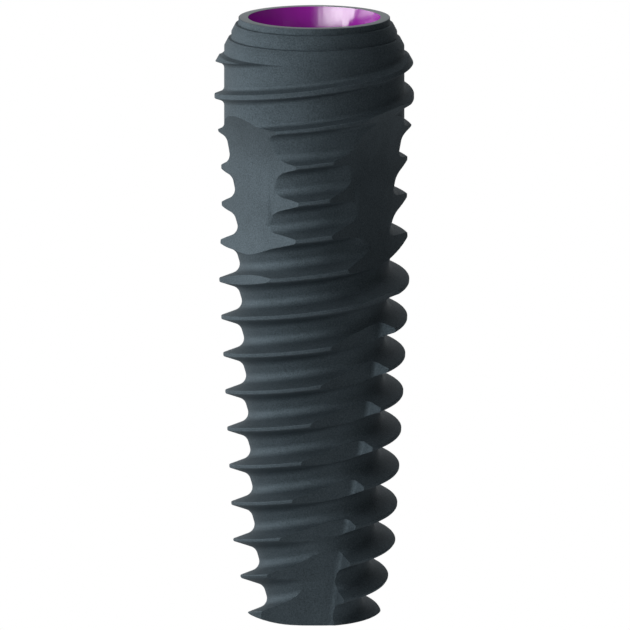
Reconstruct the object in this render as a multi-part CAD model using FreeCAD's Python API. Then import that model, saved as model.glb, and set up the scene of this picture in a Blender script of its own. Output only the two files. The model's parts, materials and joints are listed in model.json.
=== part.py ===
"""Dental implant fixture: one tapered titanium screw, turned and milled from a single bar.

The apex face lies on z = 0, the axis is Z, and the platform rim is at the top. Heights are measured
from the apex, depths from the rim. Azimuths are measured from the front (-Y) towards +X.
"""
import FreeCAD, Part
import math
import os

from FreeCAD import Vector

# Overall size
LENGTH = 12.93
CREST_RADIUS = 2.11

# Collar: a flat rim, then rings that each step out by a ledge and widen in a cone
RIM_OUTER_RADIUS = 1.602
RIM_INNER_RADIUS = 1.402
RING_COUNT = 2
RING_PITCH = 0.30
RING_GROWTH = 0.151
RING_LEDGE_DEPTH = 0.137
RING_LEDGE_WIDTH = 0.065
RING_CONE_HEIGHT = 0.165

# Shoulder that trims the upper ends of the two threads under the last ring
SHOULDER_GAP = 0.154
SHOULDER_SLOPE_WIDTH = 0.104
SHOULDER_SLOPE_HEIGHT = 0.047
SHOULDER_CONE_HEIGHT = 0.182

# Body outline
TAPER_START_HEIGHT = 9.19
TAPER_ANGLE = 3.0
NOSE_HEIGHT = 1.68
NOSE_ANGLE = 11.3
APEX_FLAT_RADIUS = 0.74
APEX_EDGE_HEIGHT = 0.165

# Core that shows between the thread ridges near the collar
CORE_CYLINDER_END_HEIGHT = 10.63
CORE_CONE_ANGLE = 9.5
CORE_END_HEIGHT = 8.43

# Thread: two right-handed starts with a round valley between steep flanks
THREAD_STARTS = 2
CREST_SPACING = 0.8
FRONT_CREST_HEIGHT = 0.489
FLANK_ANGLE = 20.5
THREAD_DEPTH_AT_COLLAR = 0.44
THREAD_DEPTH_AT_APEX = 0.472
CREST_WIDTH_AT_COLLAR = 0.09
CREST_WIDTH_AT_APEX = 0.05

# The ridges near the collar sit a little lower than an even pitch would put them
TOP_CREST_DROP = 0.05
TOP_CREST_DROP_START_HEIGHT = 9.93
TOP_CREST_DROP_END_HEIGHT = 11.13

# Three slightly crowned sides cut below the collar
SIDE_COUNT = 3
SIDE_FIRST_AZIMUTH = 60.0
SIDE_DISTANCE = 1.537
SIDE_CROWN_RADIUS = 6.59
SIDE_TOP_HEIGHT = 9.68
SIDE_BOTTOM_HEIGHT = 8.67
SIDE_RUNOUT_RADIUS = 2.38

# Two cutting flutes that twist with the thread and plunge into the nose
FLUTE_COUNT = 2
FLUTE_LEAD = 46.5
FLUTE_AZIMUTH_AT_APEX = -0.7
FLUTE_FACE_DISTANCE_AT_APEX = 0.79
FLUTE_PLUNGE_ANGLE = 15.0
FLUTE_PLUNGE_HEIGHT = 2.28
FLUTE_TAPER_ANGLE = 2.4
FLUTE_WALL_OFFSET = 0.30
FLUTE_WALL_OFFSET_AT_APEX = 0.40
FLUTE_WALL_ANGLE = 18.5
FLUTE_FILLET_RADIUS = 0.14
FLUTE_END_HEIGHT = 6.23
FLUTE_RUNOUT_RADIUS = 1.6

# Connection inside: a cone, a hexagon aligned with the three sides, and a blind screw bore
CONE_HALF_ANGLE = 11.0
HEX_ACROSS_FLATS = 2.10
HEX_END_DEPTH = 3.0
RELIEF_RADIUS = 0.95
RELIEF_LENGTH = 0.4
SCREW_BORE_RADIUS = 0.73
SCREW_BORE_END_DEPTH = 7.0
DRILL_POINT_ANGLE = 118.0

# Cutters reach this far past the surface that they cut
OVERCUT = 0.2
# Stations along one turn of a valley, and along a flute
VALLEY_STATIONS = 18
FLUTE_STATIONS = 22
# Spans in the round part of a valley's section, and in the fillet of a flute's
VALLEY_SPANS = 5
FILLET_SPANS = 3

BODY_RADIUS = RIM_OUTER_RADIUS + RING_COUNT * RING_GROWTH
COLLAR_END_HEIGHT = LENGTH - RING_LEDGE_DEPTH - (RING_COUNT - 1) * RING_PITCH - RING_CONE_HEIGHT
LEAD = THREAD_STARTS * CREST_SPACING


def tangent(degrees):
    return math.tan(math.radians(degrees))


def polar(radius, azimuth, height):
    """A point at an azimuth in degrees from the front, towards +X."""
    turn = math.radians(azimuth - 90.0)
    return Vector(radius * math.cos(turn), radius * math.sin(turn), height)


def blend(bottom, top, height):
    """A value that goes evenly from the apex to the start of the taper, and stays there above."""
    share = min(max(height / TAPER_START_HEIGHT, 0.0), 1.0)
    return bottom + (top - bottom) * share


def crest_radius(height):
    """Radius over the thread crests: a cylinder, a slow taper and a steeper nose."""
    taper_drop = max(TAPER_START_HEIGHT - max(height, NOSE_HEIGHT), 0.0) * tangent(TAPER_ANGLE)
    nose_drop = max(NOSE_HEIGHT - height, 0.0) * tangent(NOSE_ANGLE)
    return CREST_RADIUS - taper_drop - nose_drop


def revolved(edges):
    """The solid that a closed outline of edges in the XZ plane sweeps around the axis."""
    return Part.Face(Part.Wire(edges)).revolve(Vector(0, 0, 0), Vector(0, 0, 1), 360)


def polyline(points):
    """Edges through (radius, height) points in the XZ plane."""
    corners = [Vector(radius, 0, height) for radius, height in points]
    return [Part.LineSegment(a, b).toShape() for a, b in zip(corners, corners[1:])]


def thread_envelope():
    """The blank over the thread crests, from the rounded apex edge to the shoulder under the collar."""
    edge_radius = crest_radius(APEX_EDGE_HEIGHT)
    edge_width = edge_radius - APEX_FLAT_RADIUS
    round_radius = (edge_width ** 2 + APEX_EDGE_HEIGHT ** 2) / (2 * APEX_EDGE_HEIGHT)
    half_turn = math.asin(edge_width / round_radius) / 2
    middle = Vector(
        APEX_FLAT_RADIUS + round_radius * math.sin(half_turn),
        0,
        round_radius * (1 - math.cos(half_turn)),
    )
    apex_edge = Part.Arc(
        Vector(APEX_FLAT_RADIUS, 0, 0), middle, Vector(edge_radius, 0, APEX_EDGE_HEIGHT)
    ).toShape()

    slope_top = COLLAR_END_HEIGHT - SHOULDER_GAP
    slope_foot = slope_top - SHOULDER_SLOPE_HEIGHT
    inner_radius = BODY_RADIUS - OVERCUT
    slope_rate = SHOULDER_SLOPE_HEIGHT / SHOULDER_SLOPE_WIDTH
    inner_top = slope_top + OVERCUT * slope_rate
    outline = [
        (edge_radius, APEX_EDGE_HEIGHT),
        (crest_radius(NOSE_HEIGHT), NOSE_HEIGHT),
        (CREST_RADIUS, TAPER_START_HEIGHT),
        (CREST_RADIUS, slope_foot - SHOULDER_CONE_HEIGHT),
        (BODY_RADIUS + SHOULDER_SLOPE_WIDTH, slope_foot),
        (inner_radius, inner_top),
        (0, inner_top),
        (0, 0),
        (APEX_FLAT_RADIUS, 0),
    ]
    return revolved(polyline(outline) + [apex_edge])


def collar_and_core():
    """The ringed collar and the core below it, which shows between the ridges near the collar."""
    outline = [(0, LENGTH), (RIM_OUTER_RADIUS, LENGTH)]
    for ring in range(RING_COUNT):
        wall_radius = RIM_OUTER_RADIUS + ring * RING_GROWTH
        ledge_height = LENGTH - RING_LEDGE_DEPTH - ring * RING_PITCH
        outline += [
            (wall_radius, ledge_height),
            (wall_radius + RING_LEDGE_WIDTH, ledge_height),
            (wall_radius + RING_GROWTH, ledge_height - RING_CONE_HEIGHT),
        ]
    core_end_radius = BODY_RADIUS - (CORE_CYLINDER_END_HEIGHT - CORE_END_HEIGHT) * tangent(CORE_CONE_ANGLE)
    outline += [
        (BODY_RADIUS, CORE_CYLINDER_END_HEIGHT),
        (core_end_radius, CORE_END_HEIGHT),
        (0, CORE_END_HEIGHT),
        (0, LENGTH),
    ]
    return revolved(polyline(outline))


def spline(points, parameters):
    curve = Part.BSplineCurve()
    curve.interpolate(Points=points, Parameters=parameters)
    return curve


def spline_face(pole_rows, along, across_knots, across_multiplicities, across_degree):
    """A face whose long direction has the knots of the curve along it."""
    surface = Part.BSplineSurface()
    poles = [list(row) for row in zip(*pole_rows)]
    surface.buildFromPolesMultsKnots(
        poles,
        along.getMultiplicities(),
        across_multiplicities,
        along.getKnots(),
        across_knots,
        False,
        False,
        along.Degree,
        across_degree,
    )
    return surface.toShape()


def swept_cutter(sections):
    """A solid swept smoothly through flat sections.

    Each section is a pair: the points of its round part, and the corners that close it outside the
    stock. Neighbouring faces share their long edges exactly.
    """
    stations = [float(index) for index in range(len(sections))]
    arc_rows = [spline(row, stations) for row in zip(*[arc for arc, corners in sections])]
    corner_rows = [spline(row, stations) for row in zip(*[corners for arc, corners in sections])]
    along = arc_rows[0]

    spans = [float(index) for index in range(len(arc_rows))]
    across = [spline(row, spans) for row in zip(*[curve.getPoles() for curve in arc_rows])]
    round_poles = list(zip(*[curve.getPoles() for curve in across]))
    faces = [
        spline_face(
            round_poles, along, across[0].getKnots(), across[0].getMultiplicities(), across[0].Degree
        )
    ]
    ring = [arc_rows[-1]] + corner_rows + [arc_rows[0]]
    for first, second in zip(ring, ring[1:]):
        faces.append(
            spline_face([first.getPoles(), second.getPoles()], along, [0.0, 1.0], [2, 2], 1)
        )

    for arc, corners in (sections[0], sections[-1]):
        outline = [arc[-1]] + list(corners) + [arc[0]]
        edges = [Part.LineSegment(a, b).toShape() for a, b in zip(outline, outline[1:])]
        edges.append(spline(arc, spans).toShape())
        faces.append(Part.Face(Part.Wire(Part.__sortEdges__(edges))))

    shell = Part.Shell(faces)
    shell.sewShape()
    solid = Part.Solid(shell)
    if solid.Volume < 0:
        solid.reverse()
    return solid


def top_crest_drop(height):
    """How far a ridge sits below an even pitch: nothing at first, then a smooth change to the drop."""
    span = TOP_CREST_DROP_END_HEIGHT - TOP_CREST_DROP_START_HEIGHT
    share = min(max((height - TOP_CREST_DROP_START_HEIGHT) / span, 0.0), 1.0)
    return TOP_CREST_DROP * share ** 2 * (3 - 2 * share)


def valley_section(azimuth, even_height):
    """The round valley between two crests, in the plane through the axis at this azimuth."""
    height = even_height - top_crest_drop(even_height)
    depth = blend(THREAD_DEPTH_AT_APEX, THREAD_DEPTH_AT_COLLAR, height)
    crest_width = blend(CREST_WIDTH_AT_APEX, CREST_WIDTH_AT_COLLAR, height)
    flank = math.radians(FLANK_ANGLE)
    half_width = (CREST_SPACING - crest_width) / 2
    round_radius = (half_width - depth * math.tan(flank)) / (
        math.cos(flank) - (1 - math.sin(flank)) * math.tan(flank)
    )
    outer_radius = crest_radius(height) + OVERCUT
    centre_radius = crest_radius(height) - depth + round_radius
    half_arc = math.pi / 2 - flank

    arc = []
    for index in range(VALLEY_SPANS + 1):
        angle = half_arc * (2 * index / VALLEY_SPANS - 1)
        radius = centre_radius - round_radius * math.cos(angle)
        arc.append(polar(radius, azimuth, height + round_radius * math.sin(angle)))

    half_mouth = half_width + OVERCUT * math.tan(flank)
    corners = [
        polar(outer_radius, azimuth, height + half_mouth),
        polar(outer_radius, azimuth, height - half_mouth),
    ]
    return arc, corners


def valley_cutters():
    """One cutter for each turn of each start's valley, from below the apex to inside the collar."""
    turns = math.ceil(LENGTH / LEAD) + 1
    cutters = []
    for start in range(THREAD_STARTS):
        first_height = FRONT_CREST_HEIGHT + (start + 0.5) * CREST_SPACING - LEAD
        for turn in range(turns):
            sections = []
            for station in range(VALLEY_STATIONS + 1):
                turned = turn + station / VALLEY_STATIONS
                sections.append(valley_section(360 * turned, first_height + LEAD * turned))
            cutters.append(swept_cutter(sections))
    return cutters


def side_cutter(azimuth):
    """What a crowned side removes: a barrel turned about an axis behind the part leaves the side."""
    reach = CREST_RADIUS + OVERCUT - SIDE_DISTANCE
    runout_angle = math.acos(1 - reach / SIDE_RUNOUT_RADIUS)
    runout_height = SIDE_RUNOUT_RADIUS * math.sin(runout_angle)
    bulge = SIDE_RUNOUT_RADIUS * (1 - math.cos(runout_angle / 2))
    bulge_height = SIDE_RUNOUT_RADIUS * math.sin(runout_angle / 2)
    outer = SIDE_DISTANCE + reach

    top = Vector(SIDE_DISTANCE, 0, SIDE_TOP_HEIGHT)
    bottom = Vector(SIDE_DISTANCE, 0, SIDE_BOTTOM_HEIGHT)
    outer_top = Vector(outer, 0, SIDE_TOP_HEIGHT + runout_height)
    outer_bottom = Vector(outer, 0, SIDE_BOTTOM_HEIGHT - runout_height)
    bulge_top = Vector(SIDE_DISTANCE + bulge, 0, SIDE_TOP_HEIGHT + bulge_height)
    bulge_bottom = Vector(SIDE_DISTANCE + bulge, 0, SIDE_BOTTOM_HEIGHT - bulge_height)
    outline = Part.Wire(
        [
            Part.LineSegment(bottom, top).toShape(),
            Part.Arc(top, bulge_top, outer_top).toShape(),
            Part.LineSegment(outer_top, outer_bottom).toShape(),
            Part.Arc(outer_bottom, bulge_bottom, bottom).toShape(),
        ]
    )
    turning_axis = Vector(SIDE_DISTANCE - SIDE_CROWN_RADIUS, 0, 0)
    half_sweep = math.degrees(math.asin((CREST_RADIUS + OVERCUT) / SIDE_CROWN_RADIUS))
    face = Part.Face(outline)
    face.rotate(turning_axis, Vector(0, 0, 1), -half_sweep)
    cutter = face.revolve(turning_axis, Vector(0, 0, 1), 2 * half_sweep)
    cutter.rotate(Vector(0, 0, 0), Vector(0, 0, 1), azimuth - 90.0)
    return cutter


def flute_face_distance(height):
    """Distance of the flute's broad face from the axis: it runs out above and plunges at the nose."""
    plunge = min(height, FLUTE_PLUNGE_HEIGHT) * tangent(FLUTE_PLUNGE_ANGLE)
    taper = max(height - FLUTE_PLUNGE_HEIGHT, 0.0) * tangent(FLUTE_TAPER_ANGLE)
    past_end = max(height - FLUTE_END_HEIGHT, 0.0)
    runout = FLUTE_RUNOUT_RADIUS - math.sqrt(FLUTE_RUNOUT_RADIUS ** 2 - past_end ** 2)
    return FLUTE_FACE_DISTANCE_AT_APEX + plunge + taper + runout


def flute_section(azimuth, height):
    """A broad flat face, a small fillet and a short leaning wall, in a plane across the axis."""
    wall = math.radians(FLUTE_WALL_ANGLE)
    distance = flute_face_distance(height)
    share = min(max(height / FLUTE_PLUNGE_HEIGHT, 0.0), 1.0)
    offset = FLUTE_WALL_OFFSET_AT_APEX + (FLUTE_WALL_OFFSET - FLUTE_WALL_OFFSET_AT_APEX) * share
    half_fillet = (math.pi / 2 - wall) / 2
    centre_side = offset - FLUTE_FILLET_RADIUS * math.tan(half_fillet)
    centre_out = distance + FLUTE_FILLET_RADIUS
    outer = CREST_RADIUS + OVERCUT

    turn = math.radians(azimuth - 90.0)
    outward = Vector(math.cos(turn), math.sin(turn), 0)
    sideways = Vector(-math.sin(turn), math.cos(turn), 0)

    def point(out, side):
        return outward * out + sideways * side + Vector(0, 0, height)

    arc = []
    for index in range(FILLET_SPANS + 1):
        angle = 2 * half_fillet * index / FILLET_SPANS
        out = centre_out - FLUTE_FILLET_RADIUS * math.cos(angle)
        arc.append(point(out, centre_side + FLUTE_FILLET_RADIUS * math.sin(angle)))
    wall_side = offset + (outer - distance) * math.tan(wall)
    corners = [point(outer, wall_side), point(outer, -outer), point(distance, -outer)]
    return arc, corners


def flute_cutter(azimuth):
    """One flute, from below the apex to where its run-out leaves the crests."""
    bottom = -OVERCUT
    rise = CREST_RADIUS - flute_face_distance(FLUTE_END_HEIGHT)
    top = FLUTE_END_HEIGHT + math.sqrt(2 * FLUTE_RUNOUT_RADIUS * rise - rise ** 2)
    sections = []
    for station in range(FLUTE_STATIONS + 1):
        height = bottom + (top - bottom) * station / FLUTE_STATIONS
        sections.append(flute_section(azimuth + 360 * height / FLUTE_LEAD, height))
    return swept_cutter(sections)


def connection_cutter():
    """The cone, the hexagon with corners that run out in the cone, and the blind screw bore."""
    hex_corner_radius = HEX_ACROSS_FLATS / 2 / math.cos(math.radians(30))
    cone_rate = tangent(CONE_HALF_ANGLE)
    cone_end_depth = (RIM_INNER_RADIUS - HEX_ACROSS_FLATS / 2) / cone_rate + OVERCUT / 2
    cone_end_radius = RIM_INNER_RADIUS - cone_end_depth * cone_rate
    relief_end_depth = HEX_END_DEPTH + RELIEF_LENGTH
    tip_depth = SCREW_BORE_END_DEPTH + SCREW_BORE_RADIUS / tangent(DRILL_POINT_ANGLE / 2)
    outline = [
        (0, LENGTH + OVERCUT),
        (RIM_INNER_RADIUS + OVERCUT * cone_rate, LENGTH + OVERCUT),
        (cone_end_radius, LENGTH - cone_end_depth),
        (RELIEF_RADIUS, LENGTH - cone_end_depth),
        (RELIEF_RADIUS, LENGTH - relief_end_depth),
        (SCREW_BORE_RADIUS, LENGTH - relief_end_depth),
        (SCREW_BORE_RADIUS, LENGTH - SCREW_BORE_END_DEPTH),
        (0, LENGTH - tip_depth),
        (0, LENGTH + OVERCUT),
    ]
    bore = revolved(polyline(outline))

    hex_top_depth = (RIM_INNER_RADIUS - hex_corner_radius) / cone_rate - OVERCUT / 2
    corners = []
    for corner in range(7):
        azimuth = SIDE_FIRST_AZIMUTH + 30 + 60 * corner
        corners.append(polar(hex_corner_radius, azimuth, LENGTH - HEX_END_DEPTH))
    hexagon = Part.Face(Part.makePolygon(corners)).extrude(Vector(0, 0, HEX_END_DEPTH - hex_top_depth))
    return bore.fuse(hexagon)


def implant():
    body = thread_envelope()
    for cutter in valley_cutters():
        body = body.cut(cutter)
    body = body.fuse(collar_and_core())
    for side in range(SIDE_COUNT):
        body = body.cut(side_cutter(SIDE_FIRST_AZIMUTH + 360 * side / SIDE_COUNT))
    for flute in range(FLUTE_COUNT):
        body = body.cut(flute_cutter(FLUTE_AZIMUTH_AT_APEX + 360 * flute / FLUTE_COUNT))
    return body.cut(connection_cutter())


os.makedirs("parts", exist_ok=True)
implant_body = implant()
implant_body.exportStep("parts/implant_body.step")
print("implant_body: solids", len(implant_body.Solids), "faces", len(implant_body.Faces))
print("implant_body: valid", implant_body.isValid(), "volume", round(implant_body.Volume, 3))
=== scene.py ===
"""The dental implant's looks: its fine outer and inner form, its titanium finishes, and a plain studio.

Sizes are in millimetres and angles in degrees, unless a docstring says otherwise.
"""

import json
import logging
import math
from dataclasses import dataclass, field
from enum import Enum

import bpy
import numpy as np
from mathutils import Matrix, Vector

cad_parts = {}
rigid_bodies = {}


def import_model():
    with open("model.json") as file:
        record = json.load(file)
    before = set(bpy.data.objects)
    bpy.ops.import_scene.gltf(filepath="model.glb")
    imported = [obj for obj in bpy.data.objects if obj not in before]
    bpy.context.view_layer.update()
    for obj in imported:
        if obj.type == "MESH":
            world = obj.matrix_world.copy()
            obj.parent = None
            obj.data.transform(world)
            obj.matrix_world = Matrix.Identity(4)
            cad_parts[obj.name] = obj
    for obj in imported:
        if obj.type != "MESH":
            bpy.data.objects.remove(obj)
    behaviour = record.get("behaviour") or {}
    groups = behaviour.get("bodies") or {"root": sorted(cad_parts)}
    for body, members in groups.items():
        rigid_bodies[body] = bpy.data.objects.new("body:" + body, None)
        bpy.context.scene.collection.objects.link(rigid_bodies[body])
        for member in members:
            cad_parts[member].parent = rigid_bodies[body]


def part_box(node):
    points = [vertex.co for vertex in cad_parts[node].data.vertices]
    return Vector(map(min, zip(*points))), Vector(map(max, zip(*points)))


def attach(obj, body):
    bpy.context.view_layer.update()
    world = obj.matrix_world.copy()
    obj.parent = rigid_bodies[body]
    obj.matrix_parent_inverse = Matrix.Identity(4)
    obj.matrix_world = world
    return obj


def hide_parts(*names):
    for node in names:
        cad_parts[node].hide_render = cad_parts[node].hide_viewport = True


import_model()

LOG = logging.getLogger("implant")
NODE = "implant_body"
MM = 0.001

Profile = list[tuple[float, float]]


class Finish(Enum):
    """The finishes, by the material slot that a face of the body uses."""

    BLASTED = 0
    ANODISED = 1
    SEAT = 2


def tangent(degrees: float) -> float:
    """Return the tangent of an angle in degrees."""
    return math.tan(math.radians(degrees))


def smooth_step(value: float) -> float:
    """Return a value that eases from 0 to 1, and stays there outside that range."""
    share = min(max(value, 0.0), 1.0)
    return share * share * (3.0 - 2.0 * share)


def ramp(value: float, start: float, end: float) -> float:
    """Return a value's share of the way from start to end, eased at both."""
    return smooth_step((value - start) / (end - start))


def around(radius: float, azimuth: float, height: float) -> tuple[float, float, float]:
    """Return the point at an azimuth from the front (-Y) towards +X.

    Args:
        radius: Distance from the axis in millimetres.
        azimuth: Angle in degrees.
        height: Height over the apex in millimetres.

    Returns:
        The point's x, y and z in millimetres.
    """
    turn = math.radians(azimuth - 90.0)
    return radius * math.cos(turn), radius * math.sin(turn), height


@dataclass
class Stock:
    """A closed mesh in millimetres, either the blank or what a tool takes away."""

    rings: list[list[tuple[float, float, float]]]
    finish: Finish = Finish.BLASTED

    def to_object(self, name: str) -> bpy.types.Object:
        """Build the skin between the rings, with a flat cap at either end.

        Args:
            name: Name of the new object.

        Returns:
            The object, linked to the scene, with a face on every side.
        """
        points = np.asarray(self.rings, dtype=float)
        count, size, _ = points.shape
        faces = []
        for ring in range(count - 1):
            low, high = ring * size, (ring + 1) * size
            for here in range(size):
                there = (here + 1) % size
                faces.append((low + here, low + there, high + there, high + here))
        faces.append(tuple(reversed(range(size))))
        faces.append(tuple((count - 1) * size + here for here in range(size)))

        mesh = bpy.data.meshes.new(name)
        mesh.from_pydata(points.reshape(-1, 3).tolist(), [], faces)
        for finish in Finish:
            mesh.materials.append(slot_material(finish))
        mesh.polygons.foreach_set("material_index", [self.finish.value] * len(faces))
        made = bpy.data.objects.new(name, mesh)
        bpy.context.scene.collection.objects.link(made)
        return made


def slot_material(finish: Finish) -> bpy.types.Material:
    """Return the empty material that holds a finish's place until the body is dressed."""
    name = f"slot_{finish.name.lower()}"
    return bpy.data.materials.get(name) or bpy.data.materials.new(name)


def turned(profile: Profile, segments: int, finish: Finish = Finish.BLASTED) -> Stock:
    """Turn a profile around the axis.

    Args:
        profile: Points as (radius, height), from the bottom to the top.
        segments: Faces in one turn.
        finish: Finish of the turned faces.

    Returns:
        The turned stock.
    """
    azimuths = [360.0 * step / segments for step in range(segments)]
    rings = [[around(radius, azimuth, height) for azimuth in azimuths] for radius, height in profile]
    return Stock(rings, finish)


def rounded(profile: Profile, radius: float, steps: int = 3) -> Profile:
    """Round the inner corners of a profile with small arcs.

    Args:
        profile: Points as (radius, height).
        radius: Distance from each corner at which its rounding starts, in millimetres.
        steps: Pieces in each rounding.

    Returns:
        The profile with each inner corner replaced by a short curve.
    """
    points = [profile[0]]
    for before, corner, after in zip(profile, profile[1:], profile[2:]):
        here = Vector(corner)
        start = here + (Vector(before) - here).normalized() * radius
        end = here + (Vector(after) - here).normalized() * radius
        for step in range(steps + 1):
            share = step / steps
            blend = start * (1 - share) ** 2 + here * 2 * share * (1 - share) + end * share**2
            points.append((blend.x, blend.y))
    points.append(profile[-1])
    return points


def machine(body: bpy.types.Object, tool: Stock, operation: str = "DIFFERENCE") -> None:
    """Take a tool's volume away from the body, or join it to the body.

    Args:
        body: The object that changes.
        tool: What is taken away or joined.
        operation: Name of the boolean operation.
    """
    cutter = tool.to_object("tool")
    change = body.modifiers.new("machine", "BOOLEAN")
    change.operation = operation
    change.solver = "MANIFOLD"
    change.object = cutter
    shaped = body.evaluated_get(bpy.context.evaluated_depsgraph_get())
    mesh = bpy.data.meshes.new_from_object(shaped)
    body.modifiers.clear()
    old = body.data
    body.data = mesh
    bpy.data.meshes.remove(old)
    spent = cutter.data
    bpy.data.objects.remove(cutter)
    bpy.data.meshes.remove(spent)


@dataclass
class Outline:
    """The turned outline: apex, taper and ringed collar."""

    length: float
    crest_radius: float = 2.11
    taper_start: float = 9.19
    taper_angle: float = 3.0
    nose_height: float = 1.68
    nose_angle: float = 11.3
    apex_flat_radius: float = 0.74
    apex_edge_height: float = 0.165
    rim_outer_radius: float = 1.602
    rim_inner_radius: float = 1.402
    ring_count: int = 2
    ring_pitch: float = 0.30
    ring_growth: float = 0.151
    ring_ledge_depth: float = 0.137
    ring_ledge_width: float = 0.065
    ring_cone_height: float = 0.165
    shoulder_gap: float = 0.154
    shoulder_slope_width: float = 0.104
    shoulder_slope_height: float = 0.047
    shoulder_cone_height: float = 0.182
    core_cylinder_end: float = 10.63
    core_cone_angle: float = 9.5
    edge_radius: float = 0.012

    @property
    def body_radius(self) -> float:
        """Radius of the collar's foot and of the core below it."""
        return self.rim_outer_radius + self.ring_count * self.ring_growth

    def crest(self, height: float) -> float:
        """Return the radius over the thread crests.

        Args:
            height: Height over the apex in millimetres.

        Returns:
            The radius in millimetres.
        """
        taper = max(self.taper_start - max(height, self.nose_height), 0.0) * tangent(self.taper_angle)
        nose = max(self.nose_height - height, 0.0) * tangent(self.nose_angle)
        return self.crest_radius - taper - nose

    def core(self, height: float) -> float:
        """Return the radius of the core that shows between the ridges near the collar."""
        return self.body_radius - max(self.core_cylinder_end - height, 0.0) * tangent(self.core_cone_angle)

    def apex_edge(self, steps: int = 8) -> Profile:
        """Draw the rounded edge between the apex flat and the nose.

        Args:
            steps: Pieces in the arc.

        Returns:
            Points as (radius, height), going up.
        """
        width = self.crest(self.apex_edge_height) - self.apex_flat_radius
        radius = (width**2 + self.apex_edge_height**2) / (2 * self.apex_edge_height)
        sweep = math.asin(width / radius)
        angles = [sweep * step / steps for step in range(steps + 1)]
        return [(self.apex_flat_radius + radius * math.sin(a), radius * (1 - math.cos(a))) for a in angles]

    def collar(self) -> Profile:
        """Draw the collar from the shoulder over the threads up to the rim.

        Returns:
            Points as (radius, height), going up.
        """
        collar_end = self.length - self.ring_ledge_depth - (self.ring_count - 1) * self.ring_pitch
        collar_end -= self.ring_cone_height
        slope_top = collar_end - self.shoulder_gap
        slope_foot = slope_top - self.shoulder_slope_height
        points = [
            (self.crest_radius, slope_foot - self.shoulder_cone_height),
            (self.body_radius + self.shoulder_slope_width, slope_foot),
            (self.body_radius, slope_top),
        ]
        for ring in reversed(range(self.ring_count)):
            wall = self.rim_outer_radius + ring * self.ring_growth
            ledge = self.length - self.ring_ledge_depth - ring * self.ring_pitch
            points += [
                (wall + self.ring_growth, ledge - self.ring_cone_height),
                (wall + self.ring_ledge_width, ledge),
                (wall, ledge),
            ]
        points.append((self.rim_outer_radius, self.length))
        points.append((self.rim_inner_radius, self.length))
        return points

    def blank(self) -> Profile:
        """Draw the whole outline of the blank.

        Returns:
            Points as (radius, height), from the apex to the rim.
        """
        taper = [(self.crest(self.nose_height), self.nose_height), (self.crest_radius, self.taper_start)]
        return self.apex_edge() + taper + rounded(self.collar(), self.edge_radius)


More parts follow.
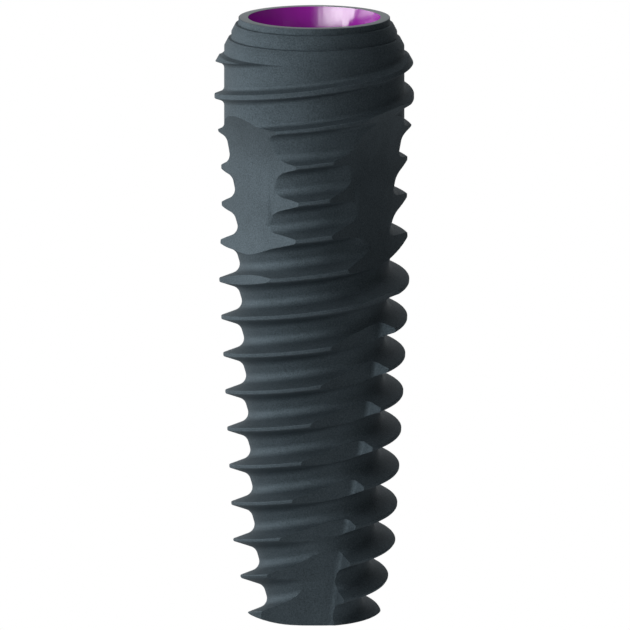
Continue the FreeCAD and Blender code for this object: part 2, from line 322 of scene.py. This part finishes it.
@dataclass
class Thread:
    """The double-start outer thread: valleys with two root rounds, a leaning floor and bevelled mouths."""

    outline: Outline
    starts: int = 2
    spacing: float = 0.8
    front_crest: float = 0.494
    upper_flank: float = 18.4
    lower_flank: float = 20.8
    floor_angle: float = 16.0
    lean_reach: float = 0.1
    floor_depth_top: float = 0.443
    floor_depth_apex: float = 0.472
    root_radius: float = 0.20
    crest_width_apex: float = 0.065
    crest_width_middle: float = 0.085
    crest_width_collar: float = 0.11
    collar_zone_start: float = 9.93
    collar_zone_end: float = 11.13
    crest_drop: float = 0.05
    foot_radius: float = 0.10
    foot_zone_start: float = 10.3
    foot_zone_end: float = 11.0
    core_blend: float = 0.04
    bevel_depth: float = 0.011
    bevel_angle: float = 56.0
    overcut: float = 0.2
    skin: float = 0.002
    stations: int = 128
    arc_steps: int = 8

    def taper_share(self, centre: float) -> float:
        """Return how far up the taper a height lies, from 0 at the apex to 1 at the taper's top."""
        return min(max(centre / self.outline.taper_start, 0.0), 1.0)

    def crest_width(self, centre: float, near_collar: float) -> float:
        """Work out the width of the ridges beside a valley.

        Args:
            centre: Height of the valley's middle in millimetres.
            near_collar: Share of the collar's form, from 0 to 1.

        Returns:
            The width in millimetres.
        """
        rise = self.crest_width_middle - self.crest_width_apex
        width = self.crest_width_apex + rise * self.taper_share(centre)
        return width + (self.crest_width_collar - self.crest_width_middle) * near_collar

    def floor(self, centre: float, rise: float) -> float:
        """Return the radius of the valley's floor, where the valley and the core melt into each other.

        Args:
            centre: Height of the valley's middle in millimetres.
            rise: Height over that middle.

        Returns:
            The radius in millimetres.
        """
        deeper = self.floor_depth_top - self.floor_depth_apex
        depth = self.floor_depth_apex + deeper * self.taper_share(centre)
        valley = self.outline.crest(centre) - depth + rise * tangent(self.floor_angle)
        core = self.outline.core(centre + rise) + self.skin
        overlap = max(self.core_blend - abs(valley - core), 0.0)
        return max(valley, core) + overlap**2 / (4 * self.core_blend)

    def mouth(self, centre: float, rise: float, flank: float) -> Profile:
        """Draw one mouth of the valley, with the bevel that softens the crest's edge.

        Args:
            centre: Height of the valley's middle in millimetres.
            rise: Height of the mouth over that middle, below zero for the lower mouth.
            flank: Angle of the flank in radians.

        Returns:
            Points as (radius, height): where the bevel starts, and where it ends outside the blank.
        """
        side = math.copysign(1.0, rise)
        start = self.outline.crest(centre + rise) - self.bevel_depth
        height = centre + rise - side * (self.outline.crest(centre) - start) * math.tan(flank)
        flare = self.overcut + self.bevel_depth
        return [(start, height), (start + flare, height + side * flare * tangent(self.bevel_angle))]

    def section(self, even_height: float) -> Profile:
        """Draw the section of what the tool takes away, from its lower mouth to its upper mouth.

        Args:
            even_height: Height of the valley's middle at an even pitch, in millimetres.

        Returns:
            Points as (radius, height).
        """
        near_collar = ramp(even_height, self.collar_zone_start, self.collar_zone_end)
        centre = even_height - self.crest_drop * near_collar
        half = (self.spacing - self.crest_width(centre, near_collar)) / 2
        crest = self.outline.crest(centre)

        low, high = self.floor(centre, -self.lean_reach), self.floor(centre, self.lean_reach)
        slope = (high - low) / (2 * self.lean_reach)
        lean = math.atan(slope)
        upper, lower = math.radians(self.upper_flank), math.radians(self.lower_flank)
        narrow = ramp(centre, self.foot_zone_start, self.foot_zone_end)
        root = self.root_radius + (self.foot_radius - self.root_radius) * narrow
        depth = crest - (low + high) / 2 - root / math.cos(lean)
        low_rise = (root - half * math.cos(lower) + depth * math.sin(lower)) / (
            math.cos(lower) + slope * math.sin(lower)
        )
        high_rise = (half * math.cos(upper) - root - depth * math.sin(upper)) / (
            math.cos(upper) - slope * math.sin(upper)
        )

        points = self.mouth(centre, -half, lower)[::-1]
        for rise, first, last in (
            (low_rise, lower - math.pi / 2, lean),
            (high_rise, lean, math.pi / 2 - upper),
        ):
            middle = crest - depth + slope * rise
            for step in range(self.arc_steps + 1):
                angle = first + (last - first) * step / self.arc_steps
                points.append((middle - root * math.cos(angle), centre + rise + root * math.sin(angle)))
        return points + self.mouth(centre, half, upper)

    def valley(self, start: int) -> Stock:
        """Sweep the tool along one start of the thread.

        Args:
            start: Number of the start, from 0.

        Returns:
            What the tool takes away.
        """
        lead = self.starts * self.spacing
        turns = math.ceil(self.outline.length / lead)
        rings = []
        for station in range(-self.stations, turns * self.stations + 1):
            turn = station / self.stations
            section = self.section(self.front_crest + (start + 0.5) * self.spacing + lead * turn)
            rings.append([around(radius, 360.0 * turn, height) for radius, height in section])
        return Stock(rings)


@dataclass
class FlatSides:
    """The three crowned sides below the collar."""

    outline: Outline
    count: int = 3
    first_azimuth: float = 60.0
    distance: float = 1.537
    crown_radius: float = 6.59
    top: float = 9.68
    bottom: float = 8.67
    runout_radius: float = 2.38
    overcut: float = 0.2
    arc_steps: int = 14
    sweep_steps: int = 28

    def cutter(self, azimuth: float) -> Stock:
        """Sweep the tool over one side.

        Args:
            azimuth: Direction that the side looks in, in degrees.

        Returns:
            What the tool takes away.
        """
        reach = self.outline.crest_radius + self.overcut - self.distance
        runout = math.acos(1 - reach / self.runout_radius)
        arc = []
        for step in range(self.arc_steps + 1):
            angle = runout * step / self.arc_steps
            out = self.distance + self.runout_radius * (1 - math.cos(angle))
            arc.append((out, self.runout_radius * math.sin(angle)))
        section = [(out, self.bottom - rise) for out, rise in reversed(arc)]
        section += [(out, self.top + rise) for out, rise in arc]

        half_sweep = math.asin((self.outline.crest_radius + self.overcut) / self.crown_radius)
        behind = self.distance - self.crown_radius
        turn = math.radians(azimuth - 90.0)
        rings = []
        for step in range(self.sweep_steps + 1):
            angle = half_sweep * (2 * step / self.sweep_steps - 1)
            ring = []
            for out, height in section:
                along = behind + (out - behind) * math.cos(angle)
                across = (out - behind) * math.sin(angle)
                x = along * math.cos(turn) - across * math.sin(turn)
                y = along * math.sin(turn) + across * math.cos(turn)
                ring.append((x, y, height))
            rings.append(ring)
        return Stock(rings)


@dataclass
class Flutes:
    """The two cutting flutes that twist with the thread and plunge into the nose."""

    outline: Outline
    count: int = 2
    lead: float = 46.5
    apex_azimuth: float = -0.7
    face_at_apex: float = 0.79
    plunge_angle: float = 15.0
    plunge_height: float = 2.28
    taper_angle: float = 2.4
    wall_offset: float = 0.30
    wall_offset_at_apex: float = 0.40
    wall_angle: float = 18.5
    fillet_radius: float = 0.14
    end: float = 6.23
    runout_radius: float = 1.6
    overcut: float = 0.2
    stations: int = 72
    fillet_steps: int = 6

    def face_distance(self, height: float) -> float:
        """Work out the distance of the broad face from the axis.

        Args:
            height: Height over the apex in millimetres.

        Returns:
            The distance in millimetres.
        """
        plunge = min(height, self.plunge_height) * tangent(self.plunge_angle)
        taper = max(height - self.plunge_height, 0.0) * tangent(self.taper_angle)
        past = max(height - self.end, 0.0)
        runout = self.runout_radius - math.sqrt(self.runout_radius**2 - past**2)
        return self.face_at_apex + plunge + taper + runout

    def section(self, azimuth: float, height: float) -> list[tuple[float, float, float]]:
        """Return the flute's section: broad face, fillet and leaning wall.

        Args:
            azimuth: Direction that the broad face looks in, in degrees.
            height: Height of the section in millimetres.

        Returns:
            The corners of the section, closed outside the blank.
        """
        wall = math.radians(self.wall_angle)
        distance = self.face_distance(height)
        share = min(max(height / self.plunge_height, 0.0), 1.0)
        offset = self.wall_offset_at_apex + (self.wall_offset - self.wall_offset_at_apex) * share
        half_fillet = (math.pi / 2 - wall) / 2
        centre = offset - self.fillet_radius * math.tan(half_fillet)
        outer = self.outline.crest_radius + self.overcut
        corners = []
        for step in range(self.fillet_steps + 1):
            angle = 2 * half_fillet * step / self.fillet_steps
            out = distance + self.fillet_radius * (1 - math.cos(angle))
            corners.append((out, centre + self.fillet_radius * math.sin(angle)))
        corners.append((outer, offset + (outer - distance) * math.tan(wall)))
        corners += [(outer, -outer), (distance, -outer)]
        turn = math.radians(azimuth - 90.0)
        return [
            (
                out * math.cos(turn) - side * math.sin(turn),
                out * math.sin(turn) + side * math.cos(turn),
                height,
            )
            for out, side in reversed(corners)
        ]

    def cutter(self, azimuth: float) -> Stock:
        """Sweep the tool along one flute.

        Args:
            azimuth: Direction of the flute at the apex, in degrees.

        Returns:
            What the tool takes away.
        """
        bottom = -self.overcut
        rise = self.outline.crest_radius - self.face_distance(self.end)
        top = self.end + math.sqrt(2 * self.runout_radius * rise - rise**2)
        rings = []
        for station in range(self.stations + 1):
            height = bottom + (top - bottom) * station / self.stations
            rings.append(self.section(azimuth + 360.0 * height / self.lead, height))
        return Stock(rings)


@dataclass
class Connection:
    """The anodised socket: a cone, a hexagon and a blind screw bore with its fine thread."""

    outline: Outline
    cone_angle: float = 11.0
    hexagon_across_flats: float = 2.10
    hexagon_end: float = 3.0
    hexagon_azimuth: float = 90.0
    hexagon_sides: int = 6
    break_through: float = 0.1
    relief_radius: float = 0.95
    relief_length: float = 0.4
    bore_radius: float = 0.73
    bore_end: float = 7.0
    drill_angle: float = 118.0
    drill_tip_radius: float = 0.02
    thread_pitch: float = 0.35
    thread_depth: float = 0.17
    thread_angle: float = 60.0
    thread_root_share: float = 0.125
    thread_clearance: float = 0.5
    overcut: float = 0.2
    segments: int = 96
    thread_stations: int = 48

    def bore(self) -> Stock:
        """Turn the cone, the relief, the bore and the drill point.

        Returns:
            What the turned tools take away.
        """
        top = self.outline.length
        rate = tangent(self.cone_angle)
        rim = self.outline.rim_inner_radius
        cone_end = (rim - self.hexagon_across_flats / 2) / rate + self.break_through
        relief_end = self.hexagon_end + self.relief_length
        tip = self.drill_tip_radius
        tip_depth = self.bore_end + (self.bore_radius - tip) / tangent(self.drill_angle / 2)
        profile = [
            (tip, top - tip_depth),
            (self.bore_radius, top - self.bore_end),
            (self.bore_radius, top - relief_end),
            (self.relief_radius, top - relief_end),
            (self.relief_radius, top - cone_end),
            (rim - cone_end * rate, top - cone_end),
            (rim, top),
            (rim + self.overcut, top + self.overcut),
        ]
        return turned(profile, self.segments, Finish.ANODISED)

    def hexagon(self) -> Stock:
        """Broach the hexagon, whose corners run out in the cone.

        Returns:
            What the broach takes away.
        """
        corner = self.hexagon_across_flats / 2 / math.cos(math.pi / self.hexagon_sides)
        rim = self.outline.rim_inner_radius
        start = (rim - corner) / tangent(self.cone_angle) - self.break_through
        turn = 360.0 / self.hexagon_sides
        azimuths = [self.hexagon_azimuth + turn * step for step in range(self.hexagon_sides)]
        heights = [self.outline.length - self.hexagon_end, self.outline.length - start]
        rings = [[around(corner, azimuth, height) for azimuth in azimuths] for height in heights]
        return Stock(rings, Finish.ANODISED)

    def screw_thread(self) -> Stock:
        """Tap the bore.

        Returns:
            What the tap takes away.
        """
        top = self.outline.length - self.hexagon_end - self.relief_length + self.thread_pitch
        bottom = self.outline.length - self.bore_end + self.thread_clearance
        turns = (top - bottom) / self.thread_pitch
        count = int(turns * self.thread_stations)
        inner = self.bore_radius - self.overcut
        outer = self.bore_radius + self.thread_depth
        root = self.thread_pitch * self.thread_root_share / 2
        mouth = root + (outer - inner) * tangent(self.thread_angle / 2)
        rings = []
        for station in range(count + 1):
            turn = station / self.thread_stations
            height = bottom + self.thread_pitch * turn
            section = [(inner, mouth), (outer, root), (outer, -root), (inner, -mouth)]
            rings.append([around(radius, 360.0 * turn, height + rise) for radius, rise in section])
        return Stock(rings, Finish.ANODISED)


@dataclass
class ImplantBody:
    """The implant: one piece of titanium, turned, milled, blasted outside and anodised inside."""

    length: float
    smooth_angle: float = 28.0
    seat_normal: float = 0.99
    seat_tolerance: float = 0.0012
    normal_weight: int = 50
    outline: Outline = field(init=False)

    def __post_init__(self) -> None:
        """Give every feature the same outline."""
        self.outline = Outline(self.length)

    def build(self) -> bpy.types.Object:
        """Turn the blank and cut every feature from it.

        Returns:
            The finished body in metres.
        """
        thread = Thread(self.outline)
        sides = FlatSides(self.outline)
        flutes = Flutes(self.outline)
        connection = Connection(self.outline)

        body = turned(self.outline.blank(), thread.stations).to_object("implant")
        for start in range(thread.starts):
            machine(body, thread.valley(start))
        for side in range(sides.count):
            machine(body, sides.cutter(sides.first_azimuth + 360.0 * side / sides.count))
        for flute in range(flutes.count):
            machine(body, flutes.cutter(flutes.apex_azimuth + 360.0 * flute / flutes.count))
        machine(body, connection.bore())
        machine(body, connection.hexagon())
        machine(body, connection.screw_thread())
        self.mark_seat(body)
        self.finish_mesh(body)
        return body

    def mark_seat(self, body: bpy.types.Object) -> None:
        """Give the flat rim, which stays masked during blasting, its smoother finish.

        Args:
            body: The body, still in millimetres.
        """
        for face in body.data.polygons:
            if face.normal.z > self.seat_normal and face.center.z > self.length - self.seat_tolerance:
                face.material_index = Finish.SEAT.value

    def finish_mesh(self, body: bpy.types.Object) -> None:
        """Scale the body to metres and shade it smooth up to its real edges.

        Args:
            body: The body in millimetres.
        """
        mesh = body.data
        points = np.empty(len(mesh.vertices) * 3)
        mesh.vertices.foreach_get("co", points)
        mesh.vertices.foreach_set("co", points * MM)
        mesh.polygons.foreach_set("use_smooth", [True] * len(mesh.polygons))
        mesh.set_sharp_from_angle(angle=math.radians(self.smooth_angle))
        mesh.update()
        weigh = body.modifiers.new("weigh normals", "WEIGHTED_NORMAL")
        weigh.mode = "FACE_AREA"
        weigh.keep_sharp = True
        weigh.weight = self.normal_weight


def linear(code: str) -> tuple[float, float, float, float]:
    """Turn an sRGB hex colour into linear red, green, blue and alpha.

    Args:
        code: Colour such as "#59646a".

    Returns:
        The linear colour.
    """
    channels = [int(code[place : place + 2], 16) / 255.0 for place in (1, 3, 5)]
    values = [c / 12.92 if c <= 0.04045 else ((c + 0.055) / 1.055) ** 2.4 for c in channels]
    return values[0], values[1], values[2], 1.0


def add_node(tree: bpy.types.NodeTree, kind: str, links: dict | None = None, **settings) -> bpy.types.Node:
    """Add a node with its settings, its socket values and its incoming links.

    Args:
        tree: The node tree that gets the node.
        kind: The node's type name.
        links: Input socket name or index, to an output socket or a plain value.
        settings: Properties of the node itself.

    Returns:
        The new node.
    """
    node = tree.nodes.new(kind)
    for name, value in settings.items():
        setattr(node, name, value)
    for place, value in (links or {}).items():
        if isinstance(value, bpy.types.NodeSocket):
            tree.links.new(value, node.inputs[place])
        else:
            node.inputs[place].default_value = value
    return node


@dataclass(frozen=True)
class BlastedTitanium:
    """Grit-blasted and acid-etched titanium: a dark slate metal with a fine, matt grain and faint clouds.

    The real grain is a few micrometres wide. It is drawn at 0.03 mm, as coarse as it needs to be to show.
    """

    name: str = "blasted_titanium"
    colour: str = "#67747c"
    shade: str = "#4a555b"
    roughness: float = 0.7
    grain_mm: float = 0.03
    cloud_mm: float = 0.5
    cloud_share: float = 0.25
    contrast_reach: float = 0.28
    grain_detail: float = 2.0
    cloud_detail: float = 4.0
    bump_mm: float = 0.006

    def material(self) -> bpy.types.Material:
        """Make the material, with its grain in colour and relief.

        Returns:
            The new material.
        """
        made = bpy.data.materials.new(self.name)
        made.use_nodes = True
        tree = made.node_tree
        shader = tree.nodes["Principled BSDF"]
        place = add_node(tree, "ShaderNodeTexCoord").outputs["Object"]
        patterns = ((self.grain_mm, self.grain_detail), (self.cloud_mm, self.cloud_detail))
        grain, cloud = (
            add_node(
                tree,
                "ShaderNodeTexNoise",
                {"Vector": place, "Scale": 1 / (width * MM), "Detail": detail},
            )
            for width, detail in patterns
        )
        mixed = add_node(
            tree,
            "ShaderNodeMath",
            {0: cloud.outputs["Fac"], 1: self.cloud_share, 2: grain.outputs["Fac"]},
            operation="MULTIPLY_ADD",
        )
        middle = (1.0 + self.cloud_share) / 2
        share = add_node(
            tree,
            "ShaderNodeMapRange",
            {
                "Value": mixed.outputs[0],
                "From Min": middle - self.contrast_reach,
                "From Max": middle + self.contrast_reach,
            },
        )
        tint = add_node(
            tree,
            "ShaderNodeMix",
            {0: share.outputs[0], 6: linear(self.shade), 7: linear(self.colour)},
            data_type="RGBA",
        )
        bump = add_node(
            tree,
            "ShaderNodeBump",
            {"Height": grain.outputs["Fac"], "Distance": self.bump_mm * MM, "Strength": 1.0},
        )
        tree.links.new(tint.outputs[2], shader.inputs["Base Color"])
        tree.links.new(bump.outputs[0], shader.inputs["Normal"])
        shader.inputs["Metallic"].default_value = 1.0
        shader.inputs["Roughness"].default_value = self.roughness
        return made


@dataclass(frozen=True)
class MachinedTitanium(BlastedTitanium):
    """Turned titanium, masked during blasting: the same slate metal with a finer, half-matt face."""

    name: str = "machined_titanium"
    roughness: float = 0.4
    bump_mm: float = 0.001


@dataclass(frozen=True)
class AnodisedTitanium:
    """Smooth machined titanium under a violet oxide film: deep in colour, with a whitish gloss on top.

    The film is a clear oxide with a high refractive index, so its surface mirrors white light unstained. The
    deep colour beneath it is what the eye takes for tinted metal.
    """

    colour: str = "#a81cb0"
    film_ior: float = 1.8
    roughness: float = 0.18

    def material(self) -> bpy.types.Material:
        """Make the material.

        Returns:
            The new material.
        """
        made = bpy.data.materials.new("anodised_titanium")
        made.use_nodes = True
        shader = made.node_tree.nodes["Principled BSDF"]
        shader.inputs["Base Color"].default_value = linear(self.colour)
        shader.inputs["IOR"].default_value = self.film_ior
        shader.inputs["Roughness"].default_value = self.roughness
        return made


@dataclass(frozen=True)
class Softbox:
    """A rectangular lamp that faces the object; its level is its face's brightness, where 1 is white."""

    name: str
    azimuth: float
    elevation: float
    width: float
    height: float
    level: float
    distance: float = 90.0
    aim_height: float = 6.5

    def place(self) -> None:
        """Put the lamp in the scene."""
        lamp = bpy.data.lights.new(self.name, "AREA")
        lamp.shape = "RECTANGLE"
        lamp.size = self.width * MM
        lamp.size_y = self.height * MM
        lamp.energy = self.level * math.pi * lamp.size * lamp.size_y
        held = bpy.data.objects.new(self.name, lamp)
        level = math.radians(self.elevation)
        x, y, _ = around(self.distance * math.cos(level), self.azimuth, 0.0)
        spot = Vector((x, y, self.distance * math.sin(level) + self.aim_height)) * MM
        aim = Vector((0.0, 0.0, self.aim_height)) * MM
        held.location = spot
        held.rotation_euler = (aim - spot).to_track_quat("-Z", "Y").to_euler()
        bpy.context.scene.collection.objects.link(held)


@dataclass(frozen=True)
class StripLight:
    """A bent row of narrow lamps, graded in level, that gives the socket's wall its broad highlight."""

    first_azimuth: float = -11.0
    turn: float = -15.0
    width: float = 21.0
    height: float = 9.0
    distance: float = 80.0
    elevations: tuple[float, ...] = (15.0, 15.0, 14.5, 14.0, 12.5)
    levels: tuple[float, ...] = (4.2, 9.6, 12.0, 10.2, 10.0)

    def place(self) -> None:
        """Put the row's lamps in the scene."""
        for step, (elevation, level) in enumerate(zip(self.elevations, self.levels)):
            azimuth = self.first_azimuth + self.turn * step
            name = f"strip_{step + 1}"
            Softbox(name, azimuth, elevation, self.width, self.height, level, self.distance).place()


@dataclass
class Studio:
    """A pale floor, a white background, soft lamps mostly on the left and a long lens.

    The camera alone sees the floor and the room white. What the metal mirrors is dimmer, as in a dark
    studio. For mirrored rays the floor glows with painted light: brighter on the lit left side, darker on
    the right.
    """

    floor_radius: float = 60.0
    floor_gap: float = 0.01
    floor_segments: int = 96
    painted_glow_reach: float = 15.0
    view_width: float = 13.335
    view_centre_height: float = 6.541
    view_centre_right: float = 0.0153
    view_elevation: float = 9.8
    view_distance: float = 600.0
    sensor: float = 36.0
    floor_colour: str = "#d8d8d8"
    # Painted light: levels of the floor's glow in the metal's reflections, on the left and on the right
    painted_glow_left: float = 0.55
    painted_glow_right: float = 0.25
    room_level: float = 0.07
    background_colour: str = "#ffffff"
    near_limit: float = 10.0
    far_limit: float = 10000.0
    strip: StripLight = StripLight()
    softboxes: tuple[Softbox, ...] = (
        Softbox("side_left", -110.0, 4.0, 66.0, 100.0, 3.1),
        Softbox("front_left", -70.0, 4.0, 60.0, 100.0, 0.3),
        Softbox("backdrop", 180.0, 8.0, 130.0, 100.0, 0.7),
        Softbox("top", -20.0, 57.0, 80.0, 80.0, 0.95),
    )

    def build(self) -> None:
        """Put up the floor, the background, the lamps and the camera."""
        self.add_floor()
        self.add_world()
        for light in (*self.softboxes, self.strip):
            light.place()
        self.add_camera()

    def add_floor(self) -> None:
        """Lay the pale floor just under the apex, so that no two faces share a plane."""
        level = -self.floor_gap * MM
        count = self.floor_segments
        ring = [around(self.floor_radius * MM, 360.0 * step / count, level) for step in range(count)]
        mesh = bpy.data.meshes.new("floor")
        mesh.from_pydata(ring, [], [tuple(range(count))])
        floor = bpy.data.objects.new("floor", mesh)
        bpy.context.scene.collection.objects.link(floor)
        made = bpy.data.materials.new("pale_floor")
        made.use_nodes = True
        tree = made.node_tree
        tree.nodes.clear()
        path = add_node(tree, "ShaderNodeLightPath")
        diffuse = add_node(tree, "ShaderNodeBsdfDiffuse", {"Color": linear(self.floor_colour)})
        place = add_node(tree, "ShaderNodeTexCoord").outputs["Object"]
        across = add_node(tree, "ShaderNodeSeparateXYZ", {0: place}).outputs["X"]
        # Painted light: for mirrored rays the floor is an emission, brighter on the left where the lamps
        # stand and darker on the right, in place of the lamps' light falling on it
        reach = self.painted_glow_reach * MM
        graded = add_node(
            tree,
            "ShaderNodeMapRange",
            {
                "Value": across,
                "From Min": -reach,
                "From Max": reach,
                "To Min": self.painted_glow_left,
                "To Max": self.painted_glow_right,
            },
        )
        dim = add_node(tree, "ShaderNodeEmission", {"Strength": graded.outputs[0]})
        glow = add_node(tree, "ShaderNodeEmission", {"Strength": 1.0})
        mirrored = add_node(
            tree,
            "ShaderNodeMixShader",
            {0: path.outputs["Is Glossy Ray"], 1: diffuse.outputs[0], 2: dim.outputs[0]},
        )
        mix = add_node(
            tree,
            "ShaderNodeMixShader",
            {0: path.outputs["Is Camera Ray"], 1: mirrored.outputs[0], 2: glow.outputs[0]},
        )
        add_node(tree, "ShaderNodeOutputMaterial", {"Surface": mix.outputs[0]})
        mesh.materials.append(made)

    def add_world(self) -> None:
        """Make the background white and the room around it dim."""
        world = bpy.data.worlds.new("studio")
        bpy.context.scene.world = world
        world.use_nodes = True
        tree = world.node_tree
        tree.nodes.clear()
        path = add_node(tree, "ShaderNodeLightPath")
        colour = linear(self.background_colour)
        room = add_node(tree, "ShaderNodeBackground", {"Color": colour, "Strength": self.room_level})
        white = add_node(tree, "ShaderNodeBackground", {"Color": colour, "Strength": 1.0})
        mix = add_node(
            tree,
            "ShaderNodeMixShader",
            {0: path.outputs["Is Camera Ray"], 1: room.outputs[0], 2: white.outputs[0]},
        )
        add_node(tree, "ShaderNodeOutputWorld", {"Surface": mix.outputs[0]})

    def add_camera(self) -> None:
        """Set the camera at the photograph's angle, far away with a long lens."""
        data = bpy.data.cameras.new("camera")
        data.sensor_width = self.sensor
        data.lens = self.sensor * self.view_distance / self.view_width
        data.clip_start = self.near_limit * MM
        data.clip_end = self.far_limit * MM
        camera = bpy.data.objects.new("camera", data)
        rise = math.radians(self.view_elevation)
        aim = Vector((self.view_centre_right, 0.0, self.view_centre_height)) * MM
        back = Vector((0.0, -math.cos(rise), math.sin(rise)))
        camera.location = aim + back * self.view_distance * MM
        camera.rotation_euler = (-back).to_track_quat("-Z", "Y").to_euler()
        bpy.context.scene.collection.objects.link(camera)
        bpy.context.scene.camera = camera
        bpy.context.scene.view_settings.view_transform = "Standard"


def main() -> None:
    """Build the body and the studio."""
    logging.basicConfig(level=logging.INFO, format="%(name)s: %(message)s")
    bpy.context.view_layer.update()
    low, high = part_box(NODE)
    body = ImplantBody(length=(high[2] - low[2]) / MM).build()
    body.data.materials[Finish.BLASTED.value] = BlastedTitanium().material()
    body.data.materials[Finish.ANODISED.value] = AnodisedTitanium().material()
    body.data.materials[Finish.SEAT.value] = MachinedTitanium().material()
    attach(body, "root")
    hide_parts(NODE)
    LOG.info("body: %d faces", len(body.data.polygons))
    Studio().build()


if __name__ == "__main__":
    main()
